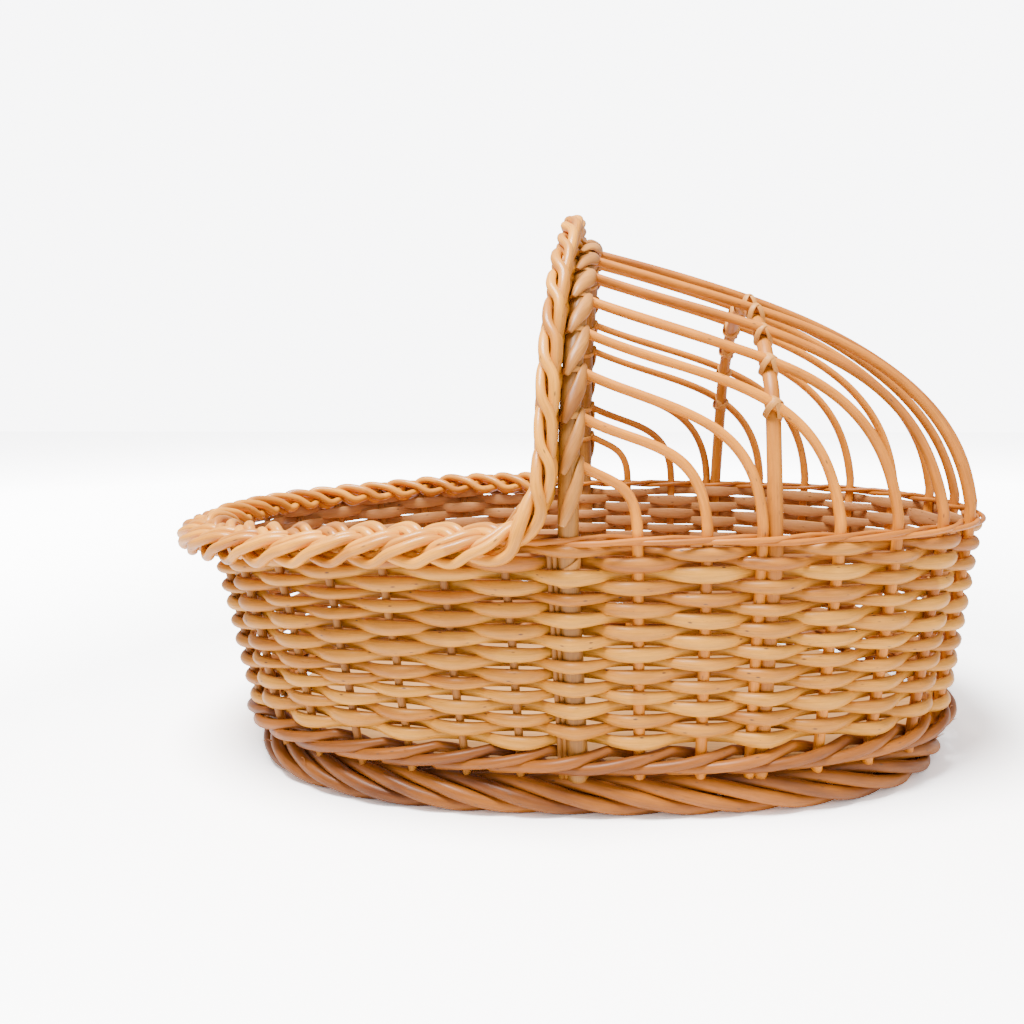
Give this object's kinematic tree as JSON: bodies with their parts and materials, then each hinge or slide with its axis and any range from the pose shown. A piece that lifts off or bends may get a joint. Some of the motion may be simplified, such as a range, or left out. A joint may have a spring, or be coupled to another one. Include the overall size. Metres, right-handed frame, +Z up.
{
  "type": "doll bassinet basket",
  "caption": "Small oval wicker bassinet: openwork hood of bent rods over the head half, plaited rim round the foot half, woven wall on a rolled foot border.",
  "frame": {"origin": "middle of the bounding box in plan, on the surface it stands on", "axes": "+X towards the hood end, -X the open foot end, +Z up"},
  "size_m": [0.3782, 0.2352, 0.25],
  "materials": {
    "foot_willow": "steamed willow rod, satin",
    "board_wood": "plain pale wood, unfinished",
    "stake_willow": "brown willow rod, satin",
    "hood_willow": "buff willow rod, satin",
    "hoop_willow": "olive brown thick rod, satin",
    "rib_willow": "brown willow rod, satin",
    "skein_willow": "split willow, pale, matt",
    "turndown_willow": "flattened willow rod, satin",
    "wale_willow": "thin brown willow rod, satin",
    "wall_willow": "flattened half-round willow, satin",
    "braid_willow": "buff willow rod, lacquered gloss"
  },
  "bodies": {
    "root": {"foot_border": "foot_willow", "foot_wale": "foot_willow", "base_board": "board_wood", "stakes": "stake_willow", "hood_rods": "hood_willow", "front_hoop": "hoop_willow", "rib_hoop": "rib_willow", "rib_lashings": "skein_willow", "rod_turndowns": "turndown_willow", "post_bands": "skein_willow", "side_rods": "stake_willow", "rim_wale": "wale_willow", "weaver_01": "wall_willow", "weaver_02": "wall_willow", "weaver_03": "wall_willow", "weaver_04": "wall_willow", "weaver_05": "wall_willow", "weaver_06": "wall_willow", "weaver_07": "wall_willow", "weaver_08": "wall_willow", "weaver_09": "wall_willow", "weaver_10": "wall_willow", "weaver_11": "wall_willow", "weaver_12": "wall_willow", "weaver_13": "wall_willow", "weaver_14": "wall_willow", "weaver_15": "wall_willow", "weaver_16": "wall_willow", "weaver_17": "wall_willow", "weaver_18": "wall_willow", "rim_braid_1": "braid_willow", "rim_braid_2": "braid_willow", "rim_braid_3": "braid_willow", "rim_braid_4": "braid_willow", "rim_braid_5": "braid_willow"}
  },
  "joints": []
}
